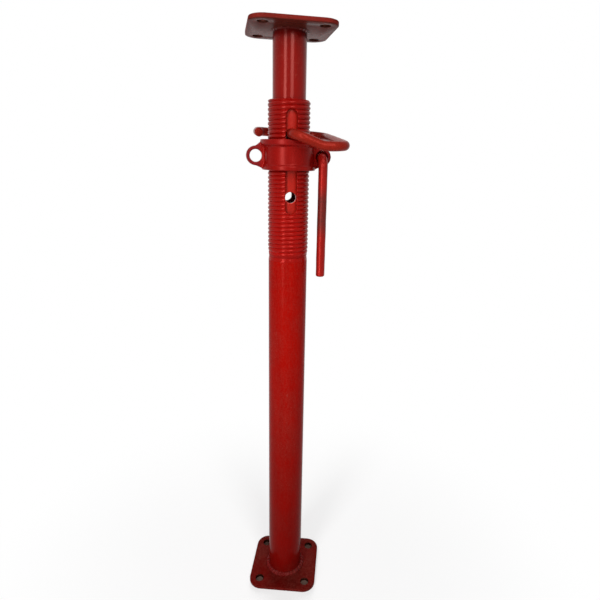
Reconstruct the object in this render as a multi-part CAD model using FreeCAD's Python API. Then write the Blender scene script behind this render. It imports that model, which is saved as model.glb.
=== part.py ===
"""Adjustable steel prop: a telescopic tube prop with a threaded outer tube, nut and locking pin.

Millimetres, +Z up. The origin is on the tubes' axis, at the underside of the base plate.
The slots, the locking pin and the head plate line up with the Y axis, and the nut's ears with X.
"""
import FreeCAD, Part
import math
import os

V = FreeCAD.Vector
Y_AXIS = V(0, 1, 0)
Z_AXIS = V(0, 0, 1)
ORIGIN = V(0, 0, 0)

# End plates
PLATE_SIDE = 120.0
PLATE_THICKNESS = 6.0
PLATE_CORNER_RADIUS = 22.0
BOLT_SPACING = 83.0
BOLT_HOLE_DIAMETER = 14.0
BASE_PLATE_TURN = -15.0

# Fillet welds
BASE_WELD_LEG = 6.0
HEAD_WELD_LEG = 4.0

# Outer tube, its slots and the swollen zone that carries its rolled thread
OUTER_DIAMETER = 60.3
OUTER_WALL = 3.2
OUTER_LENGTH = 829.5
SLOT_WIDTH = 17.0
SLOT_LENGTH = 146.5
SLOT_FROM_TOP = 13.7
THREAD_LENGTH = 222.5
THREAD_CREST_DIAMETER = 62.0
THREAD_DEPTH = 2.1

# Inner tube and its cross holes
INNER_DIAMETER = 48.3
INNER_WALL = 3.2
INNER_LENGTH = 735.0
PIN_HOLE_DIAMETER = 16.0
PIN_HOLE_PITCH = 88.0
PIN_HOLE_COUNT = 4
PIN_HOLE_FROM_TOP = 137.0

# Adjusting nut
NUT_FROM_TOP = 97.3
NUT_HEIGHT = 43.0
NUT_BARREL_DIAMETER = 75.0
NUT_UPPER_BAND_DIAMETER = 84.0
NUT_UPPER_BAND_HEIGHT = 7.5
NUT_LOWER_BAND_DIAMETER = 79.0
NUT_LOWER_BAND_HEIGHT = 6.5
NUT_EDGE_CHAMFER = 1.6
EAR_REACH = 49.0
EAR_HEIGHT = 20.0
EAR_RING_RADIUS = 14.0
EAR_HOLE_DIAMETER = 18.0
EAR_THICKNESS = 12.0
EAR_ROOT_MARGIN = 2.0

# Handle rod
HANDLE_DIAMETER = 14.0
HANDLE_LENGTH = 179.0
HANDLE_BEND_RADIUS = 11.0
HANDLE_HEAD_DIAMETER = 22.0
HANDLE_HEAD_THICKNESS = 5.0
ROD_END_CHAMFER = 1.5

# Locking pin
PIN_DIAMETER = 14.0
PIN_FRONT_REACH = 58.0
PIN_LOOP_WIDTH = 74.0
PIN_FRONT_SPLAY = 5.0
PIN_FRONT_DROP = 15.3
PIN_DIP_REACH = 40.0
PIN_BACK_RISE = 2.5
PIN_HOOK_RISE = 8.0
PIN_END_RISE = 4.5
PIN_HOOK_LENGTH = 48.0
PIN_FRONT_BEND = 17.0
PIN_DIP_BEND = 30.0
PIN_LOOP_BEND = 20.0
PIN_HOOK_BEND = 17.0

# Clearances
SEAT_GAP = 0.3
THREAD_GAP = 0.5
EAR_FACE_GAP = 0.6
PIN_PASS_GAP = 1.5
PIN_HOOK_GAP = 1.5

# Heights and radii that follow from the sizes above
OUTER_TOP = PLATE_THICKNESS + OUTER_LENGTH
SLOT_TOP = OUTER_TOP - SLOT_FROM_TOP
SLOT_BOTTOM = SLOT_TOP - SLOT_LENGTH
THREAD_BOTTOM = OUTER_TOP - THREAD_LENGTH
CREST_RADIUS = THREAD_CREST_DIAMETER / 2
NUT_BOTTOM = OUTER_TOP - NUT_FROM_TOP
NUT_TOP = NUT_BOTTOM + NUT_HEIGHT
NUT_BORE_RADIUS = CREST_RADIUS + THREAD_GAP
PIN_RADIUS = PIN_DIAMETER / 2
PIN_Z = NUT_TOP + SEAT_GAP + PIN_RADIUS
TOP_HOLE_Z = PIN_Z + PIN_RADIUS + SEAT_GAP - PIN_HOLE_DIAMETER / 2
INNER_TOP = TOP_HOLE_Z + PIN_HOLE_FROM_TOP
EAR_Z = NUT_BOTTOM + EAR_HEIGHT
HANDLE_Z = EAR_Z - EAR_HOLE_DIAMETER / 2 + HANDLE_DIAMETER / 2 + SEAT_GAP


def revolved(points):
    """Solid of revolution about Z from (radius, height) corners."""
    corners = [V(radius, 0, height) for radius, height in points]
    face = Part.Face(Part.makePolygon(corners + corners[:1]))
    return face.revolve(ORIGIN, Z_AXIS, 360)


def rounded_route(points, radii):
    """Wire of straight runs through the points, with a tangent arc of the given radius at each corner."""
    edges = []
    start = points[0]
    for before, corner, after, radius in zip(points, points[1:], points[2:], radii):
        arriving = (corner - before).normalize()
        leaving = (after - corner).normalize()
        half_turn = arriving.getAngle(leaving) / 2
        setback = radius * math.tan(half_turn)
        arc_start = corner - arriving * setback
        arc_end = corner + leaving * setback
        inward = (leaving - arriving).normalize()
        arc_middle = corner + inward * (radius / math.cos(half_turn) - radius)
        edges.append(Part.LineSegment(start, arc_start).toShape())
        edges.append(Part.Arc(arc_start, arc_middle, arc_end).toShape())
        start = arc_end
    edges.append(Part.LineSegment(start, points[-1]).toShape())
    return Part.Wire(edges)


def bent_rod(points, radii, diameter):
    """Round rod along a route of runs and arcs, with its two ends chamfered."""
    direction = points[1] - points[0]
    section = Part.Face(Part.Wire(Part.makeCircle(diameter / 2, points[0], direction)))
    rod = rounded_route(points, radii).makePipe(section)
    ends = [edge for edge in rod.Edges if is_end_edge(edge, points[0]) or is_end_edge(edge, points[-1])]
    return rod.makeChamfer(ROD_END_CHAMFER, ends)


def is_end_edge(edge, centre):
    """Whether an edge is the circle round the given end point of a rod."""
    curve = edge.Curve
    return isinstance(curve, Part.Circle) and curve.Center.distanceToPoint(centre) < ROD_END_CHAMFER / 10


def end_plate(bottom, turn):
    """Square plate with rounded corners and four bolt holes, turned about the axis."""
    half = PLATE_SIDE / 2
    plate = Part.makeBox(PLATE_SIDE, PLATE_SIDE, PLATE_THICKNESS, V(-half, -half, bottom))
    uprights = [edge for edge in plate.Edges if abs(edge.tangentAt(edge.FirstParameter).z) > 0.5]
    plate = plate.makeFillet(PLATE_CORNER_RADIUS, uprights)
    offset = BOLT_SPACING / 2
    for x in (-offset, offset):
        for y in (-offset, offset):
            hole = Part.makeCylinder(BOLT_HOLE_DIAMETER / 2, PLATE_THICKNESS, V(x, y, bottom))
            plate = plate.cut(hole)
    plate.rotate(ORIGIN, Z_AXIS, turn)
    return plate


def slot_cutter():
    """Round-ended bar that cuts the front and the back slot in one pass."""
    radius = SLOT_WIDTH / 2
    depth = 2 * THREAD_CREST_DIAMETER
    low, high = SLOT_BOTTOM + radius, SLOT_TOP - radius
    cutter = Part.makeBox(SLOT_WIDTH, depth, high - low, V(-radius, -depth / 2, low))
    for height in (low, high):
        cutter = cutter.fuse(Part.makeCylinder(radius, depth, V(0, -depth / 2, height), Y_AXIS))
    return cutter.removeSplitter()


def outer_tube():
    """Lower tube with its weld bead, swollen where its thread is rolled, and slotted front and back there."""
    radius = OUTER_DIAMETER / 2
    bore = radius - OUTER_WALL
    swell = CREST_RADIUS - radius
    tube = revolved([
        (bore, PLATE_THICKNESS),
        (radius + BASE_WELD_LEG, PLATE_THICKNESS),
        (radius, PLATE_THICKNESS + BASE_WELD_LEG),
        (radius, THREAD_BOTTOM),
        (CREST_RADIUS, THREAD_BOTTOM + swell),
        (CREST_RADIUS, OUTER_TOP - THREAD_DEPTH),
        (CREST_RADIUS - THREAD_DEPTH, OUTER_TOP),
        (bore, OUTER_TOP),
    ])
    return tube.cut(slot_cutter())


def inner_tube():
    """Upper tube with its weld bead and a row of cross holes for the locking pin."""
    radius = INNER_DIAMETER / 2
    bore = radius - INNER_WALL
    low = INNER_TOP - INNER_LENGTH
    tube = revolved([
        (bore, low),
        (radius, low),
        (radius, INNER_TOP - HEAD_WELD_LEG),
        (radius + HEAD_WELD_LEG, INNER_TOP),
        (bore, INNER_TOP),
    ])
    for index in range(PIN_HOLE_COUNT):
        height = TOP_HOLE_Z - index * PIN_HOLE_PITCH
        start = V(0, -INNER_DIAMETER, height)
        tube = tube.cut(Part.makeCylinder(PIN_HOLE_DIAMETER / 2, 2 * INNER_DIAMETER, start, Y_AXIS))
    return tube


def nut_ear():
    """Flat cast ear on the +X side: a tapered web that ends in a ring."""
    half = EAR_THICKNESS / 2
    foot = (NUT_BORE_RADIUS + NUT_BARREL_DIAMETER / 2) / 2
    low, high = NUT_BOTTOM + EAR_ROOT_MARGIN, NUT_TOP - EAR_ROOT_MARGIN
    corners = [
        V(foot, -half, low),
        V(NUT_LOWER_BAND_DIAMETER / 2, -half, low),
        V(EAR_REACH, -half, EAR_Z - EAR_RING_RADIUS),
        V(EAR_REACH, -half, EAR_Z + EAR_RING_RADIUS),
        V(NUT_UPPER_BAND_DIAMETER / 2 - EAR_ROOT_MARGIN, -half, high),
        V(foot, -half, high),
    ]
    web = Part.Face(Part.makePolygon(corners + corners[:1])).extrude(Y_AXIS * EAR_THICKNESS)
    ring = Part.makeCylinder(EAR_RING_RADIUS, EAR_THICKNESS, V(EAR_REACH, -half, EAR_Z), Y_AXIS)
    ear = web.fuse(ring).removeSplitter()
    hole_start = V(EAR_REACH, -EAR_THICKNESS, EAR_Z)
    return ear.cut(Part.makeCylinder(EAR_HOLE_DIAMETER / 2, 2 * EAR_THICKNESS, hole_start, Y_AXIS))


def nut_body():
    """Turned form of the nut: two bands on a barrel, with a bore that clears the thread's crests."""
    barrel = NUT_BARREL_DIAMETER / 2
    lower, upper = NUT_LOWER_BAND_DIAMETER / 2, NUT_UPPER_BAND_DIAMETER / 2
    lower_step = NUT_BOTTOM + NUT_LOWER_BAND_HEIGHT
    upper_step = NUT_TOP - NUT_UPPER_BAND_HEIGHT
    return revolved([
        (NUT_BORE_RADIUS, NUT_BOTTOM),
        (lower, NUT_BOTTOM),
        (lower, lower_step),
        (barrel, lower_step + (lower - barrel) / 2),
        (barrel, upper_step - (upper - barrel) / 2),
        (upper, upper_step),
        (upper, NUT_TOP - NUT_EDGE_CHAMFER),
        (upper - NUT_EDGE_CHAMFER, NUT_TOP),
        (NUT_BORE_RADIUS, NUT_TOP),
    ])


def adjusting_nut():
    """Cast nut with two opposite ears."""
    right_ear = nut_ear()
    left_ear = right_ear.copy()
    left_ear.rotate(ORIGIN, Z_AXIS, 180)
    return nut_body().fuse([right_ear, left_ear])


def nut_handle():
    """Rod that hangs in the right ear: a long leg in front, a cross leg in the hole and an upset head behind."""
    face_y = EAR_THICKNESS / 2 + EAR_FACE_GAP
    leg_y = -face_y - HANDLE_BEND_RADIUS
    head_y = face_y + HANDLE_HEAD_THICKNESS
    route = [
        V(EAR_REACH, leg_y, HANDLE_Z - HANDLE_LENGTH),
        V(EAR_REACH, leg_y, HANDLE_Z),
        V(EAR_REACH, head_y, HANDLE_Z),
    ]
    rod = bent_rod(route, [HANDLE_BEND_RADIUS], HANDLE_DIAMETER)
    head_start = V(EAR_REACH, face_y, HANDLE_Z)
    head = Part.makeCylinder(HANDLE_HEAD_DIAMETER / 2, HANDLE_HEAD_THICKNESS, head_start, Y_AXIS)
    return rod.fuse(head).removeSplitter()


def g_pin():
    """Locking pin: a bar through both tubes that loops round the right and the back and hooks round the left.

    The loop is deep enough behind the tubes for the bar to be drawn clear of the inner tube.
    """
    tip_y = NUT_BARREL_DIAMETER / 2
    draw = tip_y + INNER_DIAMETER / 2 + SEAT_GAP
    back_y = CREST_RADIUS + draw + PIN_PASS_GAP + PIN_RADIUS
    hook_x = -(CREST_RADIUS + PIN_HOOK_GAP + PIN_RADIUS)
    dip_splay = PIN_FRONT_SPLAY * PIN_DIP_REACH / PIN_LOOP_WIDTH
    route = [
        V(0, tip_y, PIN_Z),
        V(0, -PIN_FRONT_REACH, PIN_Z),
        V(PIN_DIP_REACH, -PIN_FRONT_REACH - dip_splay, PIN_Z - PIN_FRONT_DROP),
        V(PIN_LOOP_WIDTH, -PIN_FRONT_REACH - PIN_FRONT_SPLAY, PIN_Z - PIN_FRONT_DROP),
        V(PIN_LOOP_WIDTH, back_y, PIN_Z + PIN_BACK_RISE),
        V(hook_x, back_y, PIN_Z + PIN_HOOK_RISE),
        V(hook_x, back_y - PIN_HOOK_LENGTH, PIN_Z + PIN_END_RISE),
    ]
    bends = [PIN_FRONT_BEND, PIN_DIP_BEND, PIN_LOOP_BEND, PIN_LOOP_BEND, PIN_HOOK_BEND]
    return bent_rod(route, bends, PIN_DIAMETER)


def main():
    """Build every piece and write it under its own name."""
    pieces = {
        "base_plate": end_plate(0, BASE_PLATE_TURN),
        "outer_tube": outer_tube(),
        "inner_tube": inner_tube(),
        "top_plate": end_plate(INNER_TOP, 0),
        "adjusting_nut": adjusting_nut(),
        "nut_handle": nut_handle(),
        "g_pin": g_pin(),
    }
    os.makedirs("parts", exist_ok=True)
    for name, shape in pieces.items():
        shape.exportStep(f"parts/{name}.step")


main()
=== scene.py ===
"""Dressed model of an adjustable steel prop.

It has two telescopic tubes between end plates, an adjusting nut on a thread, the nut's handle rod and a
locking pin. Every length is in metres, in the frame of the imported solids: +Z runs up the tubes' axis from
the underside of the base plate, -Y comes out of the front slot, and +X points to the ear that holds the
handle.
"""
from __future__ import annotations

import logging
import math
from dataclasses import dataclass, field
from enum import Enum
from typing import Any, Sequence

import bmesh
import bpy
import numpy as np
from bpy.types import Object
from mathutils import Matrix, Vector, noise

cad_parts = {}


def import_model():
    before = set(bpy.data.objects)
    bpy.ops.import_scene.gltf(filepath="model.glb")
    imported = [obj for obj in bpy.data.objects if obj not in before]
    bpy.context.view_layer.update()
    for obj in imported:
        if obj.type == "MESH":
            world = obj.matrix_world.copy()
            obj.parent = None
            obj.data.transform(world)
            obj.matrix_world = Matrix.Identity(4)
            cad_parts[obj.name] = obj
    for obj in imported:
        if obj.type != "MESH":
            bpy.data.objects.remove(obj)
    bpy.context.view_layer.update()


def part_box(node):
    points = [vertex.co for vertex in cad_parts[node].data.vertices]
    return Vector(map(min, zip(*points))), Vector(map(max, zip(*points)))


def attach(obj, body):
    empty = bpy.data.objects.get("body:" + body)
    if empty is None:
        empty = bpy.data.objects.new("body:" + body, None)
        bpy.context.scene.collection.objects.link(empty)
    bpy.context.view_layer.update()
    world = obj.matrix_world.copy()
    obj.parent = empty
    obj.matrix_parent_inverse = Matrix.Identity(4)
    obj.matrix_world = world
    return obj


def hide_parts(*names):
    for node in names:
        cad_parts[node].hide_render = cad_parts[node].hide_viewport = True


log = logging.getLogger("prop")

MM = 0.001
Colour = tuple[float, float, float]
Point = tuple[float, float, float]
Flat = tuple[float, float]

# Degrees between the corners of an arc, and the base plate's turn about the axis.
ARC_STEP = 7.5
BASE_TURN = -15.0
# Edges above the first angle are rounded off, and those above the second one shade as edges.
RIM_ANGLE = math.radians(60)
CREASE_ANGLE = math.radians(42)

# Scale and detail of the noises in sprayed paint, broadest first; runs are stretched down the piece.
DRIFT: Flat = (17.0, 3.0)
RUNS: Flat = (95.0, 2.0)
RUN_STRETCH: Point = (1.0, 1.0, 0.07)
GRAIN: Flat = (380.0, 3.0)
SPECKS: Flat = (620.0, 0.0)
PEEL: Flat = (1100.0, 1.0)
# Share of the first of two blended noises, and the values between which each mask rises.
MAIN_SHARE = 0.6
THICK_RANGE: Flat = (0.36, 0.64)
SPECK_RANGE: Flat = (0.66, 0.74)
DUSTY_RANGE: Flat = (0.42, 0.62)
BROKEN_RANGE: Flat = (0.40, 0.62)
# What the noises do to the colour, the roughness and the relief.
SPECK_SHARE = 0.18
GRAIN_ROUGHNESS = 0.12
DRIFT_ROUGHNESS = 0.10
PEEL_HEIGHT = 0.5
GRAIN_HEIGHT = 0.7
RUN_HEIGHT = 1.6
BUMP_STRENGTH = 0.55
# Colour of the paint in shade, which paints mix in as painted shade, and its share in a ring of painted
# shade.
SHADE: Colour = (0.035, 0.001, 0.0008)
RING_SHARE = 0.30
RING_FADE = 1.5 * MM
# Wear where nothing rubs, the least wear in a hand's grip, the least share of the second colour in other
# places (painted light and shade, and darker ears), the fade at the grip's ends, and the smooth shoulder
# below the thread, which also takes the crests' darker colour as painted light.
STRAY_WEAR = 0.10
LEAST_GRIP = 0.75
LEAST_ELSEWHERE = 0.72
GRIP_FADE = 30 * MM
SHOULDER_LOW = 606.4 * MM
SHOULDER_HIGH = 608.2 * MM


class Body(Enum):
    """Moving bodies that a piece can ride on."""

    OUTER = "outer"
    INNER = "inner"
    NUT = "nut"
    HANDLE = "handle"
    PIN = "pin"


class WearAndLight(Enum):
    """Where a painted surface takes its second colour: wear, painted light and shade, and darker ears."""

    NOWHERE = 0
    # Crests and shoulder darker than the grooves, as painted light; the crests are also smoother.
    THREAD_PAINTED_LIGHT = 1
    HAND_GRIP = 2
    # Painted shade on the head plate's underside, and painted light on the inner tube's lower part.
    LOWER_END_PAINTED_LIGHT = 3
    # The ears take a darker colour.
    EARS = 4


class Signal:
    """A shader socket that takes part in Python arithmetic; each operation adds a Math node."""

    def __init__(self, tree: ShaderTree, socket: bpy.types.NodeSocket) -> None:
        """Keep the tree that new nodes go to, and the socket."""
        self.tree = tree
        self.socket = socket

    def maths(self, operation: str, first: Signal | float, second: Signal | float) -> Signal:
        """Add one Math node with an operation and its two operands."""
        return self.tree.node("ShaderNodeMath", {"operation": operation}, {0: first, 1: second})

    def __add__(self, other: Signal | float) -> Signal:
        """Sum of the two."""
        return self.maths("ADD", self, other)

    __radd__ = __add__

    def __sub__(self, other: Signal | float) -> Signal:
        """This less the other."""
        return self.maths("SUBTRACT", self, other)

    def __rsub__(self, other: Signal | float) -> Signal:
        """The other less this."""
        return self.maths("SUBTRACT", other, self)

    def __mul__(self, other: Signal | float) -> Signal:
        """Product of the two."""
        return self.maths("MULTIPLY", self, other)

    __rmul__ = __mul__

    def __pow__(self, other: Signal | float) -> Signal:
        """This raised to the other."""
        return self.maths("POWER", self, other)

    def __or__(self, other: Signal | float) -> Signal:
        """The larger of the two, for joining masks."""
        return self.maths("MAXIMUM", self, other)

    def step(self, low: float, high: float) -> Signal:
        """Make a smooth mask.

        Args:
            low: Value at which the mask is 0.
            high: Value at which it is 1; the mask falls where this is the smaller one.

        Returns:
            The mask.
        """
        settings = {"interpolation_type": "SMOOTHSTEP"}
        if low < high:
            return self.tree.node("ShaderNodeMapRange", settings, {0: self, 1: low, 2: high})
        return 1.0 - self.tree.node("ShaderNodeMapRange", settings, {0: self, 1: high, 2: low})

    def band(self, low: float, high: float, fade: float) -> Signal:
        """Mask that is 1 between two values, and fades out just inside them."""
        return self.step(low, low + fade) * self.step(high, high - fade)


class ShaderTree:
    """The node tree of one material or world."""

    def __init__(self, owner: bpy.types.Material | bpy.types.World) -> None:
        """Empty the owner's tree."""
        owner.use_nodes = True
        self.tree = owner.node_tree
        self.tree.nodes.clear()

    def node(self, kind: str, settings: dict[str, Any] | None = None,
             inputs: dict[int | str, Any] | None = None, output: int | str = 0) -> Signal:
        """Add any node.

        Args:
            kind: The node's type.
            settings: Its properties, set before its sockets.
            inputs: Values or signals by socket name or number.
            output: Name or number of the socket to return.

        Returns:
            The chosen output, or the first input of a node that has no output.
        """
        made = self.tree.nodes.new(kind)
        for key, value in (settings or {}).items():
            setattr(made, key, value)
        for key, value in (inputs or {}).items():
            socket = made.inputs[key]
            if isinstance(value, Signal):
                self.tree.links.new(value.socket, socket)
            else:
                socket.default_value = value
        return Signal(self, made.outputs[output] if len(made.outputs) else made.inputs[0])

    def noise(self, place: Signal, scale: float, detail: float) -> Signal:
        """Soft noise from 0 to 1 over a place."""
        return self.node("ShaderNodeTexNoise", None, {"Vector": place, "Scale": scale, "Detail": detail})

    def mix(self, mask: Signal, under: Signal | Colour, over: Signal | Colour) -> Signal:
        """Blend two colours, the second one showing where the mask is 1."""
        inputs = {0: mask, 6: rgba(under), 7: rgba(over)}
        return self.node("ShaderNodeMix", {"data_type": "RGBA"}, inputs, 2)

    def stretched(self, place: Signal, scale: Point) -> Signal:
        """Place scaled by its own factor along each axis."""
        return self.node("ShaderNodeVectorMath", {"operation": "MULTIPLY"}, {0: place, 1: scale})


def rgba(colour: Signal | Colour) -> Signal | tuple[float, ...]:
    """Give a written colour its alpha, and leave a signal alone."""
    return colour if isinstance(colour, Signal) else (*colour, 1.0)


@dataclass(frozen=True)
class RedPaint:
    """Sprayed red paint on steel, with its drift in thickness, its runs, dust, wear, and places painted
    darker or lighter as painted light and shade.

    The from and to bounds of the second colour are distances from the axis for the thread and the ears, and
    heights elsewhere. dark is the share of the shade colour that the paint has reached at the height
    dark_to.
    """

    name: str
    slot: str
    fresh: Colour
    deep: Colour
    wear_and_light_colour: Colour = (0.30, 0.085, 0.06)
    dust: Colour = (0.34, 0.10, 0.075)
    roughness: float = 0.36
    gloss: float = 0.07
    flake: float = 0.0
    sheen: Colour = (1.0, 0.46, 0.40)
    peel: float = 0.06 * MM
    wear_and_light_place: WearAndLight = WearAndLight.NOWHERE
    wear_and_light_from: float = 0.0
    wear_and_light_to: float = 1.0
    wear_and_light_roughness: float = 0.16
    dark: float = 0.0
    dark_from: float = 0.0
    dark_to: float = 1.0
    painted_shade_ring: Flat | None = None

    def material(self) -> bpy.types.Material:
        """Build a new material that paints by the piece's own coordinates."""
        made = bpy.data.materials.new(self.name)
        tree = ShaderTree(made)
        place = tree.node("ShaderNodeTexCoord", output="Object")
        axes = [tree.node("ShaderNodeSeparateXYZ", None, {0: place}, axis) for axis in "XYZ"]
        drift = tree.noise(place, *DRIFT)
        runs = tree.noise(tree.stretched(place, RUN_STRETCH), *RUNS)
        grain = tree.noise(place, *GRAIN)
        peel = tree.noise(place, *PEEL)
        thick = (drift * MAIN_SHARE + runs * (1 - MAIN_SHARE)).step(*THICK_RANGE)
        specks = tree.noise(place, *SPECKS).step(*SPECK_RANGE) * drift.step(*DUSTY_RANGE)
        wear_and_light_mask = self.wear_and_light_mask(axes, grain, drift)
        colour = tree.mix(thick, self.fresh, self.deep)
        colour = tree.mix(specks * SPECK_SHARE, colour, self.dust)
        # Second colour: wear, and painted light and shade.
        colour = tree.mix(wear_and_light_mask, colour, self.wear_and_light_colour)
        # Mix in the shade colour towards the height dark_to. This is painted shade at the outer tube's foot
        # and on the inner tube's top under the head plate, and a darker top on the thread.
        if self.dark:
            colour = tree.mix(axes[2].step(self.dark_from, self.dark_to) * self.dark, colour, SHADE)
        # A ring of painted shade in the groove above the thread's shoulder.
        if self.painted_shade_ring:
            colour = tree.mix(axes[2].band(*self.painted_shade_ring, RING_FADE) * RING_SHARE, colour, SHADE)
        roughness = self.roughness + (grain - 0.5) * GRAIN_ROUGHNESS
        roughness = roughness + wear_and_light_mask * self.wear_and_light_roughness + (drift - 0.5) * DRIFT_ROUGHNESS
        height = peel * PEEL_HEIGHT + grain * GRAIN_HEIGHT + runs * RUN_HEIGHT
        relief = {"Strength": BUMP_STRENGTH, "Distance": self.peel, "Height": height}
        surface = tree.node("ShaderNodeBsdfPrincipled", None, {
            "Base Color": colour,
            "Roughness": roughness,
            "Metallic": self.flake,
            "Normal": tree.node("ShaderNodeBump", None, relief),
            "Specular IOR Level": self.gloss,
            "Specular Tint": rgba(self.sheen),
        })
        tree.node("ShaderNodeOutputMaterial", None, {"Surface": surface})
        return made

    def wear_and_light_mask(self, axes: Sequence[Signal], grain: Signal, drift: Signal) -> Signal:
        """Mask of the places of the second colour: wear, and painted light and shade.

        Args:
            axes: The piece's X, Y and Z coordinates.
            grain: Fine noise that breaks up the edge of such a place.
            drift: Broad noise that makes the second colour stronger in some places than in others.

        Returns:
            A mask that is 1 where the second colour shows most.
        """
        x, y, z = axes
        broken = (grain * MAIN_SHARE + drift * (1 - MAIN_SHARE)).step(*BROKEN_RANGE)
        if self.wear_and_light_place is WearAndLight.NOWHERE:
            return broken * STRAY_WEAR
        if self.wear_and_light_place is WearAndLight.HAND_GRIP:
            return z.band(self.wear_and_light_from, self.wear_and_light_to, GRIP_FADE) * (LEAST_GRIP + broken * (1 - LEAST_GRIP))
        if self.wear_and_light_place is WearAndLight.LOWER_END_PAINTED_LIGHT:
            # Painted shade on the head plate's underside, and painted light on the inner tube's lower part,
            # which shows in the slots.
            zone = z.step(self.wear_and_light_to, self.wear_and_light_from)
        elif self.wear_and_light_place is WearAndLight.EARS:
            # The ears take a darker colour.
            zone = (x * x + y * y).step(self.wear_and_light_from ** 2, self.wear_and_light_to ** 2)
        else:
            # The thread's crests and shoulder take a darker colour than the grooves, as painted light that
            # evens out the shade in the grooves. They are also smoother.
            crests = ((x * x + y * y) ** 0.5).step(self.wear_and_light_from, self.wear_and_light_to)
            zone = crests | z.step(SHOULDER_HIGH, SHOULDER_LOW)
        return zone * (LEAST_ELSEWHERE + broken * (1 - LEAST_ELSEWHERE))


def circle(centre: Flat, radius: float, count: int) -> list[Flat]:
    """Corners of a whole circle."""
    angles = [2 * math.pi * step / count for step in range(count)]
    return [(centre[0] + radius * math.cos(a), centre[1] + radius * math.sin(a)) for a in angles]


def arc(centre: Flat, radius: float, first: float, sweep: float) -> list[Flat]:
    """Corners of an arc that starts at a first angle and turns left through a sweep, in degrees."""
    angles = [math.radians(first + ARC_STEP * step) for step in range(round(sweep / ARC_STEP) + 1)]
    return [(centre[0] + radius * math.cos(a), centre[1] + radius * math.sin(a)) for a in angles]


def eased(share: Any) -> Any:
    """Smooth rise from 0 to 1 over a share, which is cut to that range."""
    cut = np.clip(share, 0, 1)
    return cut * cut * (3 - 2 * cut)


def rolled(share: Any) -> Any:
    """Drop of a quarter round from 0 to 1 over a share, which is cut to that range."""
    return 1 - np.sqrt(1 - np.clip(share, 0, 1) ** 2)


class Pieces:
    """Maker of meshes: turns arrays into objects, and cuts and joins them."""

    @staticmethod
    def link(data: bpy.types.ID) -> Object:
        """Put a mesh, lamp or camera into the scene as an object of the same name."""
        made = bpy.data.objects.new(data.name, data)
        bpy.context.scene.collection.objects.link(made)
        return made

    @classmethod
    def from_arrays(cls, name: str, points: np.ndarray, faces: Sequence[Sequence[int]]) -> Object:
        """Make an object.

        Args:
            name: The piece's name.
            points: Its corners.
            faces: Corner numbers of each face.

        Returns:
            The new object, linked to the scene, with its faces turned outwards.
        """
        mesh = bpy.data.meshes.new(name)
        mesh.from_pydata(points.tolist(), [], [list(face) for face in faces])
        mesh.update()
        work = bmesh.new()
        work.from_mesh(mesh)
        bmesh.ops.recalc_face_normals(work, faces=work.faces)
        work.to_mesh(mesh)
        work.free()
        return cls.link(mesh)

    @staticmethod
    def grid_faces(rows: int, columns: int, closed: bool = False) -> list[Sequence[int]]:
        """Quads of a grid that closes on itself round its columns.

        Args:
            rows: Number of its rows.
            columns: Number of its columns.
            closed: Whether its last row also joins the first one.

        Returns:
            Corner numbers of each face.
        """
        faces: list[Sequence[int]] = []
        for row in range(rows if closed else rows - 1):
            low, high = row * columns, (row + 1) % rows * columns
            for column in range(columns):
                after = (column + 1) % columns
                faces.append((low + column, low + after, high + after, high + column))
        return faces

    @classmethod
    def turned(cls, name: str, angles: np.ndarray, rows: Sequence[tuple[Any, Any]]) -> Object:
        """Make a closed ring about the Z axis.

        Args:
            name: The piece's name.
            angles: Angles of its columns.
            rows: Radius and height of each row round its section, as one number or one for each column.

        Returns:
            The new object.
        """
        points = [np.stack([r * np.cos(angles), r * np.sin(angles), z + 0 * angles], -1) for r, z in rows]
        return cls.from_arrays(name, np.concatenate(points), cls.grid_faces(len(rows), len(angles), True))

    @classmethod
    def bar(cls, name: str, outline: Sequence[Flat], half: float) -> Object:
        """Make a straight bar along Y.

        Args:
            name: The piece's name.
            outline: X and Z of the corners of its section.
            half: How far it reaches to the front and to the back.

        Returns:
            The new object.
        """
        count = len(outline)
        points = np.array([(x, y, z) for y in (-half, half) for x, z in outline])
        faces = [range(count), range(count, 2 * count), *cls.grid_faces(2, count)]
        return cls.from_arrays(name, points, faces)

    @staticmethod
    def bake(piece: Object) -> None:
        """Apply every modifier of a piece to its mesh."""
        graph = bpy.context.evaluated_depsgraph_get()
        mesh = bpy.data.meshes.new_from_object(piece.evaluated_get(graph))
        piece.modifiers.clear()
        old, piece.data = piece.data, mesh
        mesh.name = piece.name
        bpy.data.meshes.remove(old)

    @classmethod
    def combine(cls, piece: Object, others: Sequence[Object], operation: str) -> None:
        """Cut other objects from a piece or join them to it, and delete them.

        Args:
            piece: The piece that stays.
            others: The objects that are used up.
            operation: DIFFERENCE or UNION.
        """
        for other in others:
            change = piece.modifiers.new(operation, "BOOLEAN")
            change.operation = operation
            change.object = other
            change.solver = "EXACT"
        cls.bake(piece)
        for other in others:
            bpy.data.objects.remove(other)


class Assembly:
    """A sub-assembly: one piece with its paint, its body and the solid that it stands for, if any."""

    paint: RedPaint
    body: Body
    node: str

    def build(self) -> Object:
        """Make the bare piece."""
        raise NotImplementedError

    def dress(self, piece: Object) -> None:
        """Shade and paint the bare piece, and hang it on its body."""
        mesh = piece.data
        mesh.shade_smooth()
        mesh.set_sharp_from_angle(angle=CREASE_ANGLE)
        mesh.materials.clear()
        mesh.materials.append(self.paint.material())
        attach(piece, self.body.value)
        if self.node:
            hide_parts(self.node)


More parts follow.
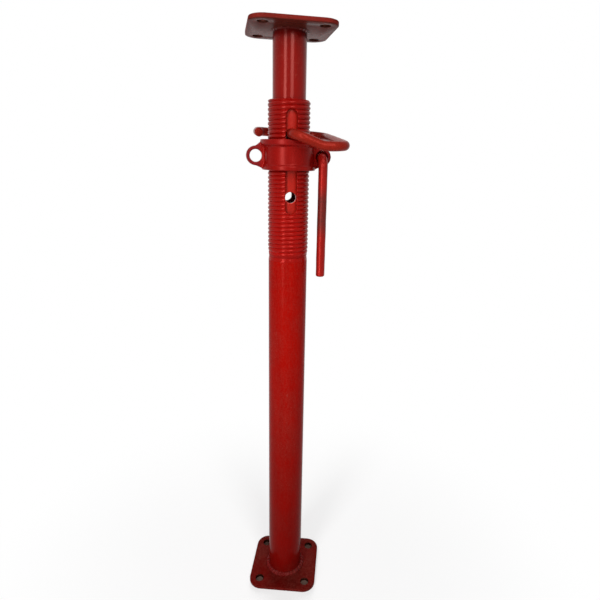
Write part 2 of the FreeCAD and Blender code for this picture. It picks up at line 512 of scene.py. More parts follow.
@dataclass
class EndPlate(Assembly):
    """Square pressed plate with rounded corners and four bolt holes."""

    node: str
    body: Body
    paint: RedPaint
    hole_painted_shade: RedPaint
    turn: float
    side: float = 120 * MM
    thickness: float = 6 * MM
    corner: float = 22 * MM
    spacing: float = 83 * MM
    hole: float = 14 * MM
    hole_steps: int = 40
    edge: float = 1.1 * MM
    edge_steps: int = 3

    def loops(self) -> list[list[Flat]]:
        """Corners of the rounded square and of each bolt hole, before the plate is turned."""
        inner, apart = self.side / 2 - self.corner, self.spacing / 2
        outline: list[Flat] = []
        for first, x, y in ((0, 1, 1), (90, -1, 1), (180, -1, -1), (270, 1, -1)):
            outline += arc((x * inner, y * inner), self.corner, first, 90)
        centres = [(x * apart, y * apart) for x in (-1, 1) for y in (-1, 1)]
        return [outline] + [circle(centre, self.hole / 2, self.hole_steps) for centre in centres]

    def build(self) -> Object:
        """Build the plate where its solid lies, with rounded rims on its edge and holes."""
        low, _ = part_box(self.node)
        work = bmesh.new()
        for loop in self.loops():
            corners = [work.verts.new((x, y, low.z)) for x, y in loop]
            for first, second in zip(corners, corners[1:] + corners[:1]):
                work.edges.new((first, second))
        bmesh.ops.triangle_fill(work, use_beauty=True, use_dissolve=False, edges=work.edges[:])
        lifted = bmesh.ops.extrude_face_region(work, geom=work.faces[:])
        top = [item for item in lifted["geom"] if isinstance(item, bmesh.types.BMVert)]
        bmesh.ops.translate(work, verts=top, vec=(0, 0, self.thickness))
        bmesh.ops.recalc_face_normals(work, faces=work.faces)
        rims = [edge for edge in work.edges if edge.is_manifold and edge.calc_face_angle(0.0) > RIM_ANGLE]
        bmesh.ops.bevel(work, geom=rims, offset=self.edge, segments=self.edge_steps, profile=0.5,
                        affect="EDGES")
        work.transform(Matrix.Rotation(math.radians(self.turn), 4, "Z"))
        mesh = bpy.data.meshes.new(f"{self.node}_pressed")
        work.to_mesh(mesh)
        work.free()
        return Pieces.link(mesh)

    def dress(self, piece: Object) -> None:
        """Paint the plate, and the walls of its bolt holes with painted shade."""
        super().dress(piece)
        # Painted shade: the walls of the bolt holes take a near black paint.
        piece.data.materials.append(self.hole_painted_shade.material())
        back = Matrix.Rotation(math.radians(-self.turn), 4, "Z")
        for face in piece.data.polygons:
            spot = back @ face.center
            gap = math.hypot(abs(spot.x) - self.spacing / 2, abs(spot.y) - self.spacing / 2)
            face.material_index = int(gap < self.hole / 2 + 0.5 * self.edge)


@dataclass
class WeldBead(Assembly):
    """Lumpy fillet weld between a tube and a plate, which ripples like stacked coins.

    Lumps, scallops and swelling are shares of the bead's leg.
    """

    name: str
    body: Body
    paint: RedPaint
    radius: float
    plate_z: float
    upwards: bool
    node: str = ""
    leg: float = 6 * MM
    ripple: float = 6.4 * MM
    columns: int = 288
    across: int = 10
    lump_scale: float = 5.0
    lump_rise: float = 0.25
    fine_scale: float = 3.1
    broad_scale: float = 0.7
    coarse_lumps: float = 0.20
    fine_lumps: float = 0.22
    scallop: float = 0.30
    scallop_sink: float = 0.19
    scallop_lag: float = 0.9
    swelling: float = 0.10
    throat: float = 0.80
    crown: float = 0.06
    hollow: float = 1.25
    overlap: float = 0.4 * MM
    inner_lift: float = 0.2 * MM

    def bulge(self, angle: float, share: float) -> float:
        """Work out how full the bead is.

        Args:
            angle: Angle about the tube's axis.
            share: Way over the bead's face, from 0 at the plate to 1 at the tube.

        Returns:
            A factor on the bead's leg.
        """
        ripples = round(2 * math.pi * (self.radius + self.leg / 2) / self.ripple)
        middle = math.sin(share * math.pi)
        spot = Vector((math.cos(angle), math.sin(angle), share * self.lump_rise)) * self.lump_scale
        lump = self.coarse_lumps * noise.noise(spot)
        lump += self.fine_lumps * noise.noise(spot * self.fine_scale)
        wave = abs(math.sin(ripples * angle / 2 + self.scallop_lag * middle))
        lump += self.scallop * wave - self.scallop_sink
        full = 1.0 + lump * middle ** 0.5 + self.swelling * noise.noise(spot * self.broad_scale)
        return full * (self.throat + self.crown * middle)

    def build(self) -> Object:
        """Build the bead as a closed ring that reaches a little into the tube."""
        sign = 1 if self.upwards else -1
        angles = np.array([2 * math.pi * column / self.columns for column in range(self.columns)])
        rows: list[tuple[Any, Any]] = []
        for row in range(self.across + 1):
            share = row / self.across
            full = np.array([self.bulge(angle, share) for angle in angles])
            out = self.leg * np.maximum(0.0, full * math.cos(share * math.pi / 2) ** self.hollow)
            rise = self.leg * np.maximum(0.0, full * math.sin(share * math.pi / 2) ** self.hollow)
            rows.append((self.radius + out, self.plate_z + sign * rise))
        rows.append((self.radius - self.overlap, self.plate_z + sign * self.inner_lift))
        return Pieces.turned(self.name, angles, rows)


@dataclass
class OuterTube(Assembly):
    """Lower tube with its rolled thread and the two slots that the locking pin moves in.

    The thread grows out of a neck above the plain tube's shoulder, and an uneven groove runs round the
    foot of that neck. Each of the groove's waves has a share of its depth, a number round the tube and a
    lag. Gaps between columns are in degrees.
    """

    paint: RedPaint
    thread_paint: RedPaint
    body: Body = Body.OUTER
    node: str = "outer_tube"
    radius: float = 30.15 * MM
    bore: float = 26.95 * MM
    bottom: float = 6 * MM
    top: float = 835.5 * MM
    top_round: float = 2.2 * MM
    top_drop: float = 0.5 * MM
    thread_bottom: float = 604.7 * MM
    crest: float = 31 * MM
    root: float = 28.9 * MM
    pitch: float = 6.35 * MM
    fullness: float = 2.2
    column_gap: float = 2.5
    least_gap: float = 0.15
    edge_columns: tuple[float, ...] = (-0.5, -0.1, 0.25, 0.6, 1.0, 1.5, 2.1, 2.8)
    plain_rows: int = 12
    plain_end: float = 5 * MM
    fine_start: float = 4.4 * MM
    fine_end: float = 0.3 * MM
    top_row: float = 0.15 * MM
    rows_a_turn: int = 10
    thread_phase: float = 0.35
    thread_rise: float = 3.5 * MM
    thread_spread: float = 0.8
    thread_growth: float = 9 * MM
    neck_depth: float = 0.4 * MM
    shoulder_drop: float = 1.5 * MM
    shoulder_length: float = 2.8 * MM
    groove_depth: float = 0.6 * MM
    groove_rise: float = 4 * MM
    groove_width: float = 1.8 * MM
    groove_waves: tuple[Point, ...] = ((0.30, 5, 1.0), (0.20, 11, 0.0))
    slot_width: float = 17 * MM
    slot_bottom: float = 675.3 * MM
    slot_top: float = 821.8 * MM
    lip: float = 1.3 * MM
    lip_drop: float = 0.85
    cut_reach: float = 60 * MM
    paint_drop: float = 2 * MM

    def angles(self) -> np.ndarray:
        """Angles of the grid's columns, close together along the slots' sides."""
        edge = math.degrees(math.asin(self.slot_width / 2 / self.crest))
        near = [edge + offset for offset in self.edge_columns]
        degrees = set(np.arange(0, 360, self.column_gap).tolist())
        for side in (90, 270):
            degrees |= {side + sign * offset for offset in near for sign in (-1, 1)}
        ordered = sorted(degrees)
        kept = [ordered[0]]
        for angle in ordered[1:]:
            if angle - kept[-1] > self.least_gap:
                kept.append(angle)
        return np.radians(kept)

    def heights(self) -> np.ndarray:
        """Heights of the grid's rows, from the bottom up."""
        plain = np.linspace(self.bottom, self.thread_bottom - self.plain_end, self.plain_rows)
        gap = self.pitch / self.rows_a_turn
        fine = np.arange(self.thread_bottom - self.fine_start, self.top - self.fine_end, gap)
        return np.concatenate([plain, fine, [self.top - self.top_row, self.top]])

    def surface(self, angle: np.ndarray, height: np.ndarray) -> np.ndarray:
        """Radius of the tube's outside.

        Args:
            angle: Angles about the axis.
            height: Heights above the base plate's underside.

        Returns:
            The radius at each place.
        """
        turns = angle / (2 * math.pi)
        wave = 1 - np.abs(2 * ((height / self.pitch - turns + 0.5) % 1.0) - 1) ** self.fullness
        spread = self.pitch * ((turns + self.thread_phase) % 1.0) * self.thread_spread
        start = self.thread_bottom + self.thread_rise + spread
        grown = np.clip((height - start) / self.thread_growth, 0, 1)
        neck = self.radius - self.neck_depth
        threaded = neck + (self.root - neck) * grown + (self.crest - self.root) * wave * grown
        shoulder = eased((height - (self.thread_bottom - self.shoulder_drop)) / self.shoulder_length)
        radius = self.radius + (threaded - self.radius) * shoulder
        waves = (share * np.sin(count * angle + lag) for share, count, lag in self.groove_waves)
        uneven = sum(waves, 1)
        off_groove = (height - self.thread_bottom - self.groove_rise) / self.groove_width
        radius = radius - self.groove_depth * uneven * np.exp(-off_groove ** 2)
        over_top = rolled((height - (self.top - self.top_round)) / self.top_round)
        radius = radius - (radius - (self.root - self.top_drop)) * over_top
        return radius - self.lip_drop * self.lip * rolled(1 - self.slot_distance(angle, height) / self.lip)

    def slot_distance(self, angle: np.ndarray, height: np.ndarray) -> np.ndarray:
        """Distance of places on the tube from the slots.

        Args:
            angle: Angles about the axis.
            height: Heights above the base plate's underside.

        Returns:
            How far each place lies outside the nearer slot's outline.
        """
        across = self.crest * np.cos(angle)
        middle = (self.slot_bottom + self.slot_top) / 2
        straight = (self.slot_top - self.slot_bottom - self.slot_width) / 2
        beyond = np.maximum(0, np.abs(height - middle) - straight)
        return np.maximum(0, np.hypot(across, beyond) - self.slot_width / 2)

    def build(self) -> Object:
        """Build the tube with its thread, and cut its slots."""
        angles, heights = self.angles(), self.heights()
        radius = self.surface(*np.meshgrid(angles, heights))
        rows = [*zip(radius, heights), (self.bore, self.top), (self.bore, self.bottom)]
        made = Pieces.turned("outer_tube_threaded", angles, rows)
        half = self.slot_width / 2
        outline = arc((0.0, self.slot_top - half), half, 0, 180)
        outline += arc((0.0, self.slot_bottom + half), half, 180, 180)
        Pieces.combine(made, [Pieces.bar("slot_bar", outline, self.cut_reach)], "DIFFERENCE")
        return made

    def dress(self, piece: Object) -> None:
        """Paint the tube, and its thread with a finish of its own."""
        super().dress(piece)
        piece.data.materials.append(self.thread_paint.material())
        for face in piece.data.polygons:
            face.material_index = int(face.center.z > self.thread_bottom - self.paint_drop)


@dataclass
class InnerTube(Assembly):
    """Upper tube with its row of cross holes, whose edges are softened."""

    paint: RedPaint
    body: Body = Body.INNER
    node: str = "inner_tube"
    radius: float = 24.15 * MM
    bore: float = 20.95 * MM
    bottom: float = 189.8 * MM
    top: float = 924.8 * MM
    top_row: float = 20 * MM
    chamfer: float = 0.8 * MM
    hole: float = 16 * MM
    hole_steps: int = 48
    highest_hole: float = 787.8 * MM
    hole_pitch: float = 88 * MM
    hole_count: int = 4
    lip: float = 0.9 * MM
    lip_drop: float = 0.7
    columns: int = 144
    row_gap: float = 0.7 * MM
    near_rows: int = 16
    cut_reach: float = 40 * MM

    def hole_heights(self) -> list[float]:
        """Heights of the cross holes, from the highest down."""
        return [self.highest_hole - index * self.hole_pitch for index in range(self.hole_count)]

    def build(self) -> Object:
        """Build the tube and drill its holes."""
        holes = self.hole_heights()
        angles = np.linspace(0, 2 * math.pi, self.columns, endpoint=False)
        offsets = np.arange(-self.near_rows, self.near_rows + 1) * self.row_gap
        ends = [self.bottom, self.bottom + self.chamfer, self.top - self.top_row, self.top]
        heights = np.array(sorted([z + offset for z in holes for offset in offsets] + ends))
        angle, height = np.meshgrid(angles, heights)
        across = self.radius * np.cos(angle)
        beside = np.min([np.hypot(across, height - z) for z in holes], axis=0) - self.hole / 2
        radius = self.radius - self.lip_drop * self.lip * rolled(1 - np.maximum(beside, 0) / self.lip)
        radius[0] -= self.chamfer
        rows = [*zip(radius, heights), (self.bore, self.top), (self.bore, self.bottom)]
        made = Pieces.turned("inner_tube_drilled", angles, rows)
        outlines = [circle((0.0, z), self.hole / 2, self.hole_steps) for z in holes]
        drills = [Pieces.bar("drill", outline, self.cut_reach) for outline in outlines]
        Pieces.combine(made, drills, "DIFFERENCE")
        return made


@dataclass
class AdjustingNut(Assembly):
    """Cast nut with two bands, and an ear on each side."""

    paint: RedPaint
    body: Body = Body.NUT
    node: str = "adjusting_nut"
    bottom: float = 738.2 * MM
    top: float = 781.2 * MM
    bore: float = 31.8 * MM
    barrel: float = 37.5 * MM
    waist: float = 0.3 * MM
    upper_band: float = 42 * MM
    upper_height: float = 7.5 * MM
    upper_slope: float = 2.2 * MM
    lower_band: float = 39.5 * MM
    lower_height: float = 6.5 * MM
    lower_slope: float = 1.2 * MM
    columns: int = 160
    ear_reach: float = 49 * MM
    ear_height: float = 20 * MM
    ear_ring: float = 14 * MM
    ear_hole: float = 9 * MM
    ear_half: float = 6 * MM
    ear_inset: float = 2 * MM
    ear_sink: float = 0.6 * MM
    hole_steps: int = 48
    cut_reach: float = 20 * MM
    skin: float = 0.85 * MM
    softening: float = 0.5
    soft_rounds: int = 9

    def ring(self) -> Object:
        """Build the nut without its ears: a ring with two bands on a slightly waisted barrel."""
        low_step, high_step = self.bottom + self.lower_height, self.top - self.upper_height
        profile = [
            (self.bore, self.bottom),
            (self.lower_band, self.bottom),
            (self.lower_band, low_step),
            (self.barrel, low_step + self.lower_slope),
            (self.barrel - self.waist, (low_step + high_step) / 2),
            (self.barrel, high_step - self.upper_slope),
            (self.upper_band, high_step),
            (self.upper_band, self.top),
            (self.bore, self.top),
        ]
        angles = np.linspace(0, 2 * math.pi, self.columns, endpoint=False)
        return Pieces.turned("adjusting_nut_cast", angles, profile)

    def ear(self, side: int) -> Object:
        """Build the web and ring of one ear.

        Args:
            side: 1 for the ear towards +X and -1 for the one towards -X.

        Returns:
            The drilled ear, which starts inside the barrel's wall.
        """
        eye = (self.ear_reach, self.bottom + self.ear_height)
        foot = (self.bore + self.barrel) / 2 + self.ear_sink
        low, high = self.bottom + self.ear_inset, self.top - self.ear_inset
        outline = [(foot, low), (self.lower_band, low), *arc(eye, self.ear_ring, -90, 180)]
        outline += [(self.upper_band - self.ear_inset, high), (foot, high)]
        hole = circle(eye, self.ear_hole, self.hole_steps)
        made = Pieces.bar("ear", [(side * x, z) for x, z in outline], self.ear_half)
        drill = Pieces.bar("ear_drill", [(side * x, z) for x, z in hole], self.cut_reach)
        Pieces.combine(made, [drill], "DIFFERENCE")
        return made

    def build(self) -> Object:
        """Join the ring and the ears, and soften the nut all over like a casting."""
        made = self.ring()
        Pieces.combine(made, [self.ear(1), self.ear(-1)], "UNION")
        skin = made.modifiers.new("skin", "REMESH")
        skin.mode = "VOXEL"
        skin.voxel_size = self.skin
        soft = made.modifiers.new("soft", "SMOOTH")
        soft.factor = self.softening
        soft.iterations = self.soft_rounds
        Pieces.bake(made)
        return made


@dataclass
class BentRod(Assembly):
    """Round bar that was bent while hot, with round ends smoothed by wear, and small dents.

    Its route holds the corners of its middle line, and each corner between the ends has a bend's radius.
    """

    name: str
    node: str
    body: Body
    paint: RedPaint
    route: list[Point]
    bends: list[float]
    radius: float = 7 * MM
    head: float = 0.0
    head_length: float = 0.0
    head_slope: float = 1.2 * MM
    end_round: float = 2.6 * MM
    end_rings: int = 6
    first_ring: float = 0.12
    dent: float = 0.25 * MM
    dent_reach: float = 8 * MM
    dent_scale: float = 55.0
    around: int = 32
    bend_gap: float = 1.6 * MM
    bend_steps: int = 8
    run_gap: float = 4 * MM
    least_gap: float = 0.02 * MM

    def line(self) -> list[Vector]:
        """Points of the bar's middle, along its straight runs and along an arc at each bend."""
        corners = [Vector(point) for point in self.route]
        points = [corners[0]]
        for before, corner, after, radius in zip(corners, corners[1:], corners[2:], self.bends):
            arriving, leaving = (corner - before).normalized(), (after - corner).normalized()
            turn = arriving.angle(leaving)
            start = corner - arriving * (radius * math.tan(turn / 2))
            centre = start + (leaving - arriving * arriving.dot(leaving)).normalized() * radius
            axis = arriving.cross(leaving)
            self.run_to(points, start)
            count = max(self.bend_steps, round(turn * radius / self.bend_gap))
            for step in range(1, count + 1):
                swing = Matrix.Rotation(turn * step / count, 3, axis)
                points.append(centre + swing @ (start - centre))
        self.run_to(points, corners[-1])
        return points

    def run_to(self, points: list[Vector], end: Vector) -> None:
        """Add the points of a straight run.

        Args:
            points: The line so far, which grows.
            end: The run's end.
        """
        start = points[-1]
        count = max(1, round((end - start).length / self.run_gap))
        points += [start.lerp(end, step / count) for step in range(1, count + 1)]

    def stations(self, lengths: np.ndarray) -> list[float]:
        """Choose where the bar gets its rings of corners.

        Args:
            lengths: Distance along the bar of each point of its line.

        Returns:
            Distances along the bar, closer together at its ends and at an upset head's edge.
        """
        total = float(lengths[-1])
        angles = np.linspace(self.first_ring, math.pi / 2, self.end_rings)
        ends = [self.end_round * (1 - math.cos(angle)) for angle in angles]
        chosen = set(lengths[1:-1].tolist()) | set(ends) | {total - end for end in ends}
        if self.head:
            edge = total - self.head_length
            chosen |= {edge + share * self.head_slope for share in (0.0, 0.25, 0.5, 0.75, 1.0)}
        ordered = sorted(chosen)
        pairs = zip(ordered, ordered[1:] + [math.inf])
        return [station for station, after in pairs if after - station > self.least_gap]

    def reach(self, station: float, total: float) -> float:
        """Radius of the bar.

        Args:
            station: Distance along the bar.
            total: The bar's length.

        Returns:
            The radius there, rounded off at the ends and swollen at an upset head.
        """
        full = self.radius
        if self.head:
            edge = total - self.head_length
            full += (self.head - self.radius) * eased((station - edge) / self.head_slope)
        near = min(station, total - station)
        return full - self.end_round * rolled(1 - near / self.end_round)

    @staticmethod
    def at(line: list[Vector], lengths: np.ndarray, station: float) -> tuple[Vector, Vector]:
        """Find a place on a line.

        Args:
            line: The line's points.
            lengths: Distance along the line of each point.
            station: Distance along it of the place.

        Returns:
            The place, and the line's direction there.
        """
        index = int(np.clip(np.searchsorted(lengths, station, side="right") - 1, 0, len(line) - 2))
        run = lengths[index + 1] - lengths[index]
        share = float((station - lengths[index]) / run)
        before, after = line[max(0, index - 1)], line[min(len(line) - 1, index + 2)]
        start, end = line[index], line[index + 1]
        direction = (end - start).normalized()
        slow = (end - before).normalized().lerp((after - start).normalized(), share)
        return start.lerp(end, share), (direction + slow).normalized()

    def build(self) -> Object:
        """Sweep the bar along its line, and close its ends."""
        line = self.line()
        lengths = np.concatenate([[0], np.cumsum([(b - a).length for a, b in zip(line, line[1:])])])
        stations = self.stations(lengths)
        normal = self.at(line, lengths, stations[0])[1].orthogonal()
        points = []
        for station in stations:
            centre, tangent = self.at(line, lengths, station)
            normal = (normal - tangent * normal.dot(tangent)).normalized()
            side = tangent.cross(normal)
            reach = self.reach(station, float(lengths[-1]))
            for step in range(self.around):
                angle = 2 * math.pi * step / self.around
                out = normal * math.cos(angle) + side * math.sin(angle)
                dent = self.dent * noise.noise((centre + out * self.dent_reach) * self.dent_scale)
                points.append(centre + out * (reach + dent - self.dent / 2))
        faces = Pieces.grid_faces(len(stations), self.around)
        faces += [range(self.around), range(len(points) - self.around, len(points))]
        return Pieces.from_arrays(self.name, np.array(points), faces)


@dataclass
class SteelProp:
    """The whole prop: its finishes and its sub-assemblies."""

    # Painted shade: the base plate is painted much darker than the tubes.
    base_paint: RedPaint = RedPaint(
        "base_plate_paint", "plate_paint", (0.096, 0.0018, 0.0011), (0.070, 0.0010, 0.0006),
        roughness=0.5, gloss=0.05)
    # Painted shade: near black paint on the walls of the bolt holes.
    hole_painted_shade: RedPaint = RedPaint(
        "bolt_hole_painted_shade", "plate_paint", (0.014, 0.0030, 0.0016), (0.010, 0.0020, 0.0010),
        roughness=0.7, gloss=0.0)
    # Painted shade: the head plate's underside takes a darker colour, and it is also glossier.
    head_paint: RedPaint = RedPaint(
        "head_plate_paint", "plate_paint", (0.16, 0.014, 0.010), (0.12, 0.010, 0.007),
        roughness=0.48, gloss=0.0095, sheen=(1.0, 0.8, 0.72), wear_and_light_place=WearAndLight.LOWER_END_PAINTED_LIGHT,
        wear_and_light_colour=(0.070, 0.012, 0.008), wear_and_light_from=925.0 * MM, wear_and_light_to=926.6 * MM, wear_and_light_roughness=-0.30)
    # Painted shade: the tube darkens towards the floor.
    outer_paint: RedPaint = RedPaint(
        "outer_tube_paint", "outer_paint", (0.30, 0.0026, 0.0010), (0.255, 0.0016, 0.0007),
        roughness=0.15, gloss=0.022, flake=0.02, sheen=(1.0, 0.60, 0.50),
        dark=0.66, dark_from=560 * MM, dark_to=-80 * MM)
    # Painted light and shade: the crests and shoulder are darker than the grooves, and a ring of painted
    # shade lies in the groove above the shoulder. The thread is also darker towards the top.
    thread_paint: RedPaint = RedPaint(
        "thread_paint", "outer_paint", (0.335, 0.0030, 0.0016), (0.266, 0.0019, 0.0011),
        roughness=0.42, gloss=0.12, flake=0.12, sheen=(1.0, 0.58, 0.50), wear_and_light_place=WearAndLight.THREAD_PAINTED_LIGHT,
        wear_and_light_colour=(0.264, 0.0036, 0.0022), wear_and_light_from=29.7 * MM, wear_and_light_to=30.5 * MM, wear_and_light_roughness=-0.31,
        dark=0.28, dark_from=600 * MM, dark_to=840 * MM, painted_shade_ring=(607.0 * MM, 613.2 * MM))
    # Painted light below the outer tube's top, where the tube shows in the slots. Painted shade on the
    # tube's top under the head plate, which also darkens the head weld bead.
    inner_paint: RedPaint = RedPaint(
        "inner_tube_paint", "inner_paint", (0.20, 0.0024, 0.0010), (0.17, 0.0016, 0.0008),
        roughness=0.16, gloss=0.18, flake=0.06, sheen=(1.0, 0.62, 0.54), peel=0.03 * MM, wear_and_light_place=WearAndLight.LOWER_END_PAINTED_LIGHT,
        wear_and_light_colour=(0.34, 0.012, 0.007), wear_and_light_from=826 * MM, wear_and_light_to=834 * MM, wear_and_light_roughness=0.0,
        dark=0.85, dark_from=908 * MM, dark_to=926 * MM)
    nut_paint: RedPaint = RedPaint(
        "nut_paint", "nut_paint", (0.22, 0.0022, 0.0012), (0.175, 0.0014, 0.0008),
        roughness=0.29, gloss=0.16, flake=0.12, sheen=(1.0, 0.55, 0.48), peel=0.10 * MM, wear_and_light_place=WearAndLight.EARS,
        wear_and_light_colour=(0.135, 0.006, 0.008), wear_and_light_from=40 * MM, wear_and_light_to=46 * MM, wear_and_light_roughness=0.04)
    pin_paint: RedPaint = RedPaint(
        "pin_paint", "rod_paint", (0.215, 0.011, 0.0055), (0.165, 0.0065, 0.003),
        roughness=0.30, gloss=0.09, flake=0.11, peel=0.10 * MM, wear_and_light_colour=(0.17, 0.026, 0.015))
    handle_paint: RedPaint = RedPaint(
        "handle_paint", "rod_paint", (0.29, 0.008, 0.005), (0.225, 0.005, 0.0035),
        roughness=0.26, gloss=0.22, flake=0.22, peel=0.10 * MM, wear_and_light_place=WearAndLight.HAND_GRIP,
        wear_and_light_colour=(0.085, 0.014, 0.011), wear_and_light_from=632 * MM, wear_and_light_to=722 * MM)
    # The bead's paint, lighter and pinker than the base plate's, as painted highlight.
    weld_paint: RedPaint = RedPaint(
        "weld_paint", "plate_paint", (0.13, 0.0036, 0.0036), (0.095, 0.0020, 0.0020),
        roughness=0.30, gloss=0.10, sheen=(1.0, 0.46, 0.50), peel=0.12 * MM)

    def assemblies(self) -> list[Assembly]:
        """All sub-assemblies in the order in which they are built, from the floor up."""
        outer = OuterTube(self.outer_paint, self.thread_paint)
        inner = InnerTube(self.inner_paint)
        return [
            EndPlate("base_plate", Body.OUTER, self.base_paint, self.hole_painted_shade, BASE_TURN),
            WeldBead("base_weld_bead", Body.OUTER, self.weld_paint, outer.radius, outer.bottom, True),
            outer,
            inner,
            WeldBead("head_weld_bead", Body.INNER, self.inner_paint, inner.radius, inner.top, False,
                     leg=3.0 * MM),
            EndPlate("top_plate", Body.INNER, self.head_paint, self.hole_painted_shade, 0.0),
            AdjustingNut(self.nut_paint),
            self.handle(),
            self.pin(),
        ]

    def handle(self) -> BentRod:
        """Rod that hangs in the right ear, with an upset head behind it."""
        route = [(0.049, -0.0176, 0.5775), (0.049, -0.0176, 0.7565), (0.049, 0.0116, 0.7565)]
        return BentRod("handle_rod", "nut_handle", Body.HANDLE, self.handle_paint, route, [11 * MM],
                       head=11 * MM, head_length=5 * MM)

    def pin(self) -> BentRod:
        """Bar through both tubes that loops round the right and the back to a hook on the left."""
        bar = [(0.0, 0.0375, 0.7885), (0.0, -0.058, 0.7885)]
        dip = [(0.040, -0.0607, 0.7732), (0.074, -0.063, 0.7732)]
        loop = [(0.074, 0.10145, 0.791), (-0.0395, 0.10145, 0.7965), (-0.0395, 0.05345, 0.793)]
        bends = [17 * MM, 30 * MM, 20 * MM, 20 * MM, 17 * MM]
        return BentRod("locking_pin", "g_pin", Body.PIN, self.pin_paint, bar + dip + loop, bends)


@dataclass(frozen=True)
class Lamp:
    """Soft rectangular lamp; one that doesn't gleam lights the prop and shows in no gloss."""

    name: str
    place: Point
    target: Point
    size: Flat
    power: float
    gleams: bool = True

    def hang(self) -> None:
        """Hang the lamp and point it at its target."""
        data = bpy.data.lights.new(self.name, "AREA")
        data.shape = "RECTANGLE"
        data.size, data.size_y = self.size
        data.energy = self.power
        made = Pieces.link(data)
        made.location = self.place
        made.visible_glossy = self.gleams
        facing = Vector(self.target) - Vector(self.place)
        made.rotation_euler = facing.to_track_quat("-Z", "Y").to_euler()


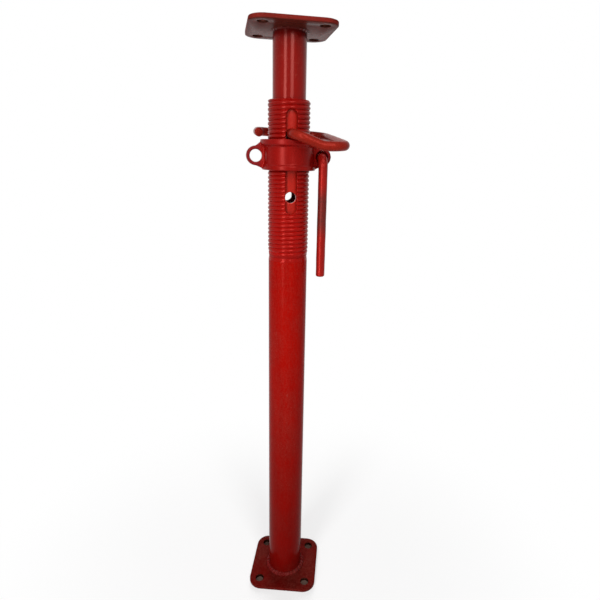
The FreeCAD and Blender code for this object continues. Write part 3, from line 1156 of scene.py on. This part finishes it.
@dataclass
class Studio:
    """Camera, floor, lamps and pale surroundings.

    The camera's heading, dip and tilt are in degrees. The floor is palest beyond fade_to, and the square
    under the base plate is painted dark, as painted shade.
    """

    eye: Point = (-0.0998, -0.7235, 0.7625)
    heading: float = 11.3
    dip: float = 16.32
    tilt: float = 1.52
    sensor: float = 36.0
    lens: float = 28.295
    shift: Flat = (-0.0245, -0.01327)
    nearest: float = 20 * MM
    ambient: float = 0.08
    floor_radius: float = 9.0
    floor_steps: int = 96
    floor_drop: float = 0.3 * MM
    pale: Colour = (0.9, 0.9, 0.9)
    # Painted shade on the floor under the base plate.
    painted_shade_under_plate: Colour = (0.15, 0.095, 0.075)
    fade_from: float = 120 * MM
    fade_to: float = 600 * MM
    least_white: float = 0.55
    plate_half: float = 57 * MM
    plate_corner: float = 72 * MM
    plate_fade: float = 2 * MM
    lamps: list[Lamp] = field(default_factory=lambda: [
        Lamp("left_window", (-0.92, -1.25, 1.02), (0.0, 0.0, 0.95), (0.42, 1.9), 22.0),
        Lamp("right_window", (0.26, -1.48, 1.60), (0.0, 0.0, 0.95), (0.56, 1.3), 17.0),
        Lamp("high_softbox", (-0.15, -0.90, 2.10), (0.0, 0.0, 0.75), (1.0, 0.8), 6.0),
        Lamp("back_softbox", (0.20, 1.60, 0.85), (0.0, 0.0, 0.60), (0.9, 1.2), 30.0, gleams=False),
    ])

    def build(self) -> None:
        """Set up everything round the prop."""
        self.camera()
        self.floor()
        for lamp in self.lamps:
            lamp.hang()
        self.surroundings()
        bpy.context.scene.view_settings.view_transform = "Standard"

    def camera(self) -> None:
        """Place the camera at the photograph's view."""
        data = bpy.data.cameras.new("camera")
        data.sensor_width = self.sensor
        data.lens = self.lens
        data.shift_x, data.shift_y = self.shift
        data.clip_start = self.nearest
        made = Pieces.link(data)
        turned = Matrix.Rotation(math.radians(-self.heading), 4, "Z")
        tipped = Matrix.Rotation(math.radians(90 - self.dip), 4, "X")
        rolled_over = Matrix.Rotation(math.radians(self.tilt), 4, "Z")
        made.matrix_world = Matrix.Translation(self.eye) @ turned @ tipped @ rolled_over
        bpy.context.scene.camera = made

    def floor(self) -> None:
        """Lay a pale round floor that keeps the prop's shadow and fades into the surroundings."""
        rim = circle((0.0, 0.0), self.floor_radius, self.floor_steps)
        points = np.array([(x, y, -self.floor_drop) for x, y in rim])
        made = Pieces.from_arrays("floor", points, [range(self.floor_steps)])
        material = bpy.data.materials.new("pale_floor")
        tree = ShaderTree(material)
        place = tree.node("ShaderNodeTexCoord", output="Object")
        x, y = (tree.node("ShaderNodeSeparateXYZ", None, {0: place}, axis) for axis in "XY")
        reach = (x * x + y * y) ** 0.5
        away = reach.step(self.fade_from, self.fade_to)
        # Painted shade: under the base plate the floor is dark and takes no white.
        covered = self.covered(x, y, reach)
        colour = tree.mix(covered, self.pale, self.painted_shade_under_plate)
        matt = tree.node("ShaderNodeBsdfDiffuse", None, {"Color": colour})
        white = tree.node("ShaderNodeEmission", None, {"Color": (1.0, 1.0, 1.0, 1.0), "Strength": 1.0})
        share = self.seen(tree) * (self.least_white + away * (1 - self.least_white)) * (1.0 - covered)
        both = tree.node("ShaderNodeMixShader", None, {0: share, 1: matt, 2: white})
        tree.node("ShaderNodeOutputMaterial", None, {"Surface": both})
        made.data.materials.append(material)

    def covered(self, x: Signal, y: Signal, reach: Signal) -> Signal:
        """Mask of the painted shade on the floor under the base plate.

        Args:
            x: The floor's X coordinate.
            y: Its Y coordinate.
            reach: Distance from the axis.

        Returns:
            A mask that is 1 under the plate, just inside its outline.
        """
        turn = math.radians(BASE_TURN)
        along = x * math.cos(turn) + y * math.sin(turn)
        across = y * math.cos(turn) - x * math.sin(turn)
        half, corner, fade = self.plate_half, self.plate_corner, self.plate_fade
        square = ((along * along) | (across * across)).step(half ** 2, (half - fade) ** 2)
        return square * reach.step(corner, corner - fade)

    @staticmethod
    def seen(tree: ShaderTree) -> Signal:
        """Mask of the rays by which the camera sees a place: straight, in a reflection or through glass."""
        kinds = ("Camera", "Glossy", "Transmission")
        rays = [tree.node("ShaderNodeLightPath", output=f"Is {kind} Ray") for kind in kinds]
        return rays[0] | rays[1] | rays[2]

    def surroundings(self) -> None:
        """White where the camera and reflections see it, and a plain soft light elsewhere."""
        world = bpy.data.worlds.new("studio")
        bpy.context.scene.world = world
        tree = ShaderTree(world)
        strength = self.ambient + self.seen(tree) * (1.0 - self.ambient)
        inputs = {"Color": (1.0, 1.0, 1.0, 1.0), "Strength": strength}
        light = tree.node("ShaderNodeBackground", None, inputs)
        tree.node("ShaderNodeOutputWorld", None, {"Surface": light})


def main() -> None:
    """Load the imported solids, build and dress every piece in order, and set the stage."""
    logging.basicConfig(level=logging.INFO, format="%(name)s: %(message)s")
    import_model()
    for assembly in SteelProp().assemblies():
        piece = assembly.build()
        assembly.dress(piece)
        log.info("%s: %d faces on %s", piece.name, len(piece.data.polygons), assembly.body.value)
    Studio().build()


if __name__ == "__main__":
    main()
